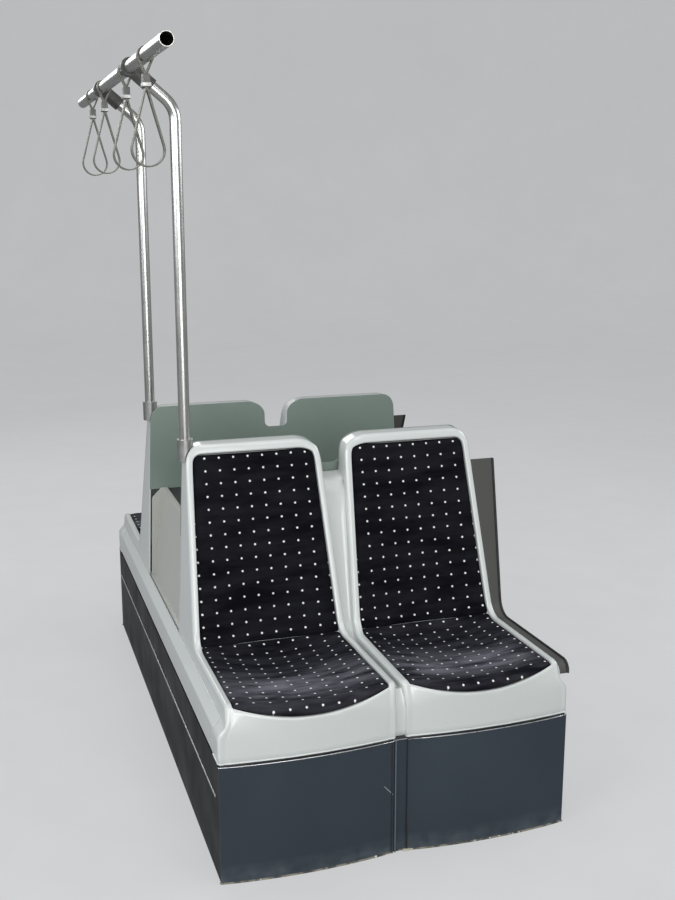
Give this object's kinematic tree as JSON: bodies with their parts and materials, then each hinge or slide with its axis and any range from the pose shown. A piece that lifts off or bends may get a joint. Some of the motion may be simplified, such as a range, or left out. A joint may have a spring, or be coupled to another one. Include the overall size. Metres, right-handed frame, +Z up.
{
  "type": "back-to-back bus seat unit with grab rails",
  "caption": "Back-to-back bucket seats on a bowed wheel-arch plinth, with shoulder poles, an overhead grab rail and swinging hand straps.",
  "frame": {"origin": "middle of the plinth's footprint on the floor, at the centre of the floor bolt pattern", "axes": "+X to the vehicle's wall, -X to the aisle, Y along the vehicle, +Z up"},
  "size_m": [1.0424, 1.7998, 1.938],
  "materials": {
    "frame_steel": "satin grey primer",
    "deck_dark": "matt dark",
    "plinth_blue": "scuffed dark blue-grey laminate",
    "plinth_side": "glossy dark laminate",
    "trim_metal": "bright",
    "shell_grey": "light grey moulded glass fibre",
    "infill_grey": "grey moulded glass fibre",
    "cover_grey": "grey-green panel",
    "pad_fabric": "dark woven with small pale dots",
    "filler_grey": "grey",
    "seal_rubber": "matt",
    "stainless": "fine brushed stainless tube",
    "socket_metal": "satin",
    "clamp_grey": "dark grey powder coat",
    "strap_vinyl": "grey vinyl band",
    "buckle_plastic": "dark grey"
  },
  "bodies": {
    "unit": {"floor_frame": "frame_steel", "frame_posts": "frame_steel", "deck_frame": "frame_steel", "deck_plate": "deck_dark", "plinth_front_panel": "plinth_blue", "plinth_rear_panel": "plinth_blue", "plinth_aisle_panel": "plinth_side", "plinth_wall_panel": "plinth_side", "plinth_trim": "trim_metal", "aisle_skirt": "shell_grey", "wall_skirt": "shell_grey", "aisle_infill": "infill_grey", "wall_infill": "infill_grey", "front_shell": "shell_grey", "rear_shell": "shell_grey", "front_back_cover": "cover_grey", "rear_back_cover": "cover_grey", "wall_filler": "filler_grey", "wall_seal": "seal_rubber", "front_pole": "stainless", "rear_pole": "stainless", "front_pole_socket": "socket_metal", "rear_pole_socket": "socket_metal", "overhead_rail": "stainless", "front_rail_clamp": "clamp_grey", "rear_rail_clamp": "clamp_grey", "front_aisle_seat_pad": "pad_fabric", "front_aisle_back_pad": "pad_fabric", "front_wall_seat_pad": "pad_fabric", "front_wall_back_pad": "pad_fabric", "rear_aisle_seat_pad": "pad_fabric", "rear_aisle_back_pad": "pad_fabric", "rear_wall_seat_pad": "pad_fabric", "rear_wall_back_pad": "pad_fabric"},
    "strap_1": {"strap_1_band": "strap_vinyl", "strap_1_buckle": "buckle_plastic"},
    "strap_2": {"strap_2_band": "strap_vinyl", "strap_2_buckle": "buckle_plastic"},
    "strap_3": {"strap_3_band": "strap_vinyl", "strap_3_buckle": "buckle_plastic"},
    "strap_4": {"strap_4_band": "strap_vinyl", "strap_4_buckle": "buckle_plastic"}
  },
  "joints": [
    {"name": "strap_1_swing", "type": "hinge", "parent": "unit", "child": "strap_1", "pos_m": [-0.517, -0.55801, 1.915], "axis": [0, 1, 0], "range_deg": [-75, 75]},
    {"name": "strap_2_swing", "type": "hinge", "parent": "unit", "child": "strap_2", "pos_m": [-0.517, -0.22801, 1.915], "axis": [0, 1, 0], "range_deg": [-75, 75]},
    {"name": "strap_3_swing", "type": "hinge", "parent": "unit", "child": "strap_3", "pos_m": [-0.517, 0.24301, 1.915], "axis": [0, 1, 0], "range_deg": [-75, 75]},
    {"name": "strap_4_swing", "type": "hinge", "parent": "unit", "child": "strap_4", "pos_m": [-0.517, 0.55801, 1.915], "axis": [0, 1, 0], "range_deg": [-75, 75]}
  ]
}
